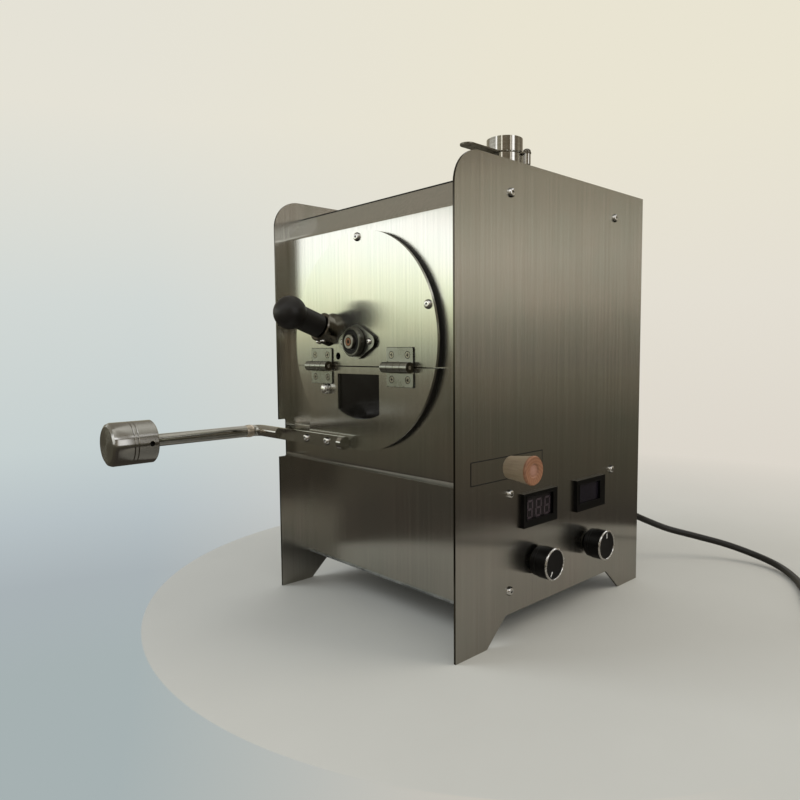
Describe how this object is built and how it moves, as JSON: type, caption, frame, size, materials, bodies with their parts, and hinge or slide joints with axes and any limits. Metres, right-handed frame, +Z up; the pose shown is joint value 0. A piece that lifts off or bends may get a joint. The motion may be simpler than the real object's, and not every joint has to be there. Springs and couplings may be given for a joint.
{
  "type": "home coffee bean roaster",
  "caption": "Electric drum roaster with a hinged front discharge door, bean sampler, chaff drawer, panel meters, control knobs and a chimney with a swinging damper.",
  "frame": {"origin": "centre of the rectangle of the two side plates, at the plane under their feet", "axes": "+Z up to the chimney's top, -Y out of the front door, +X out of the side with the drawer and knobs"},
  "size_m": [0.5708, 0.577, 0.4615],
  "materials": {
    "side_steel": "brushed",
    "front_steel": "brushed",
    "polished_steel": "polished",
    "satin_steel": "satin",
    "dark_steel": "satin",
    "zinc": "cast",
    "galvanised": "matt",
    "gasket_black": "matt",
    "matt_black": "matt",
    "ceramic_wool": "matt",
    "glass": "dark",
    "meter_black": "gloss",
    "knob_black": "gloss",
    "wood": "lacquered",
    "brass": "satin",
    "board_green": "gloss",
    "cord_black": "satin"
  },
  "bodies": {
    "frame": {"side_plate_right": "side_steel", "side_plate_left": "side_steel", "front_panel": "front_steel", "top_cover": "front_steel", "rear_panel": "front_steel", "bottom_plate": "galvanised", "tie_bars": "satin_steel", "frame_screws": "polished_steel", "rear_bulkhead": "galvanised", "chamber_shell": "galvanised", "insulation_blanket": "ceramic_wool", "heating_tubes": "dark_steel", "faceplate": "front_steel", "faceplate_gasket": "gasket_black", "front_bearing": "zinc", "small_screws": "satin_steel", "hinge_upper_leaves": "satin_steel", "hinge_pins": "satin_steel", "hinge_screws": "polished_steel", "sampler_guide": "polished_steel", "drawer_shelf": "galvanised", "chimney_pipe": "polished_steel", "damper_bolt": "satin_steel", "flue_box": "galvanised", "temperature_meter": "meter_black", "voltage_meter": "meter_black", "heat_control": "satin_steel", "speed_control": "satin_steel", "control_nuts": "polished_steel", "gear_motor": "dark_steel", "motor_bracket": "galvanised", "rear_bearing": "zinc", "power_controller": "board_green", "cord_gland": "matt_black", "cord_lead": "cord_black", "cord_coil": "cord_black", "cord_plug": "cord_black"},
    "drum": {"drum_shell": "dark_steel", "drum_spiders": "dark_steel", "drum_shaft": "satin_steel", "shaft_coupler": "brass"},
    "door": {"door_plate": "front_steel", "door_gasket": "gasket_black", "sight_glass": "glass", "glass_clamp": "dark_steel", "hinge_lower_leaves": "satin_steel", "door_hinge_screws": "polished_steel", "lever_bar": "satin_steel", "lever_screws": "polished_steel", "lever_knob": "satin_steel"},
    "sampler": {"sampler_tube": "satin_steel", "sampler_grip": "matt_black"},
    "drawer": {"drawer_front": "front_steel", "chaff_tray": "satin_steel", "drawer_knob": "wood"},
    "heat_dial": {"heat_knob": "knob_black", "heat_shaft": "satin_steel"},
    "speed_dial": {"speed_knob": "knob_black", "speed_shaft": "satin_steel"},
    "damper": {"damper_blade": "satin_steel"}
  },
  "joints": [
    {"name": "drum_turn", "type": "hinge", "parent": "frame", "child": "drum", "pos_m": [0, -0.04, 0.2485], "axis": [0, 1, 0], "continuous": true},
    {"name": "door_hinge", "type": "hinge", "parent": "frame", "child": "door", "pos_m": [0, -0.1374, 0.2268], "axis": [-1, 0, 0], "range_deg": [0, 80]},
    {"name": "sampler_slide", "type": "slide", "parent": "frame", "child": "sampler", "axis": [0, -0.9397, 0.342], "range_m": [0, 0.08]},
    {"name": "drawer_slide", "type": "slide", "parent": "frame", "child": "drawer", "axis": [1, 0, 0], "range_m": [0, 0.15]},
    {"name": "heat_turn", "type": "hinge", "parent": "frame", "child": "heat_dial", "pos_m": [0.1265, -0.0375, 0.0597], "axis": [-1, 0, 0], "range_deg": [0, 300]},
    {"name": "speed_turn", "type": "hinge", "parent": "frame", "child": "speed_dial", "pos_m": [0.1285, 0.0425, 0.0597], "axis": [-1, 0, 0], "range_deg": [-150, 150]},
    {"name": "damper_swing", "type": "hinge", "parent": "frame", "child": "damper", "pos_m": [0.02148, 0.08102, 0.44475], "axis": [0, 0, 1], "range_deg": [0, 95]}
  ]
}
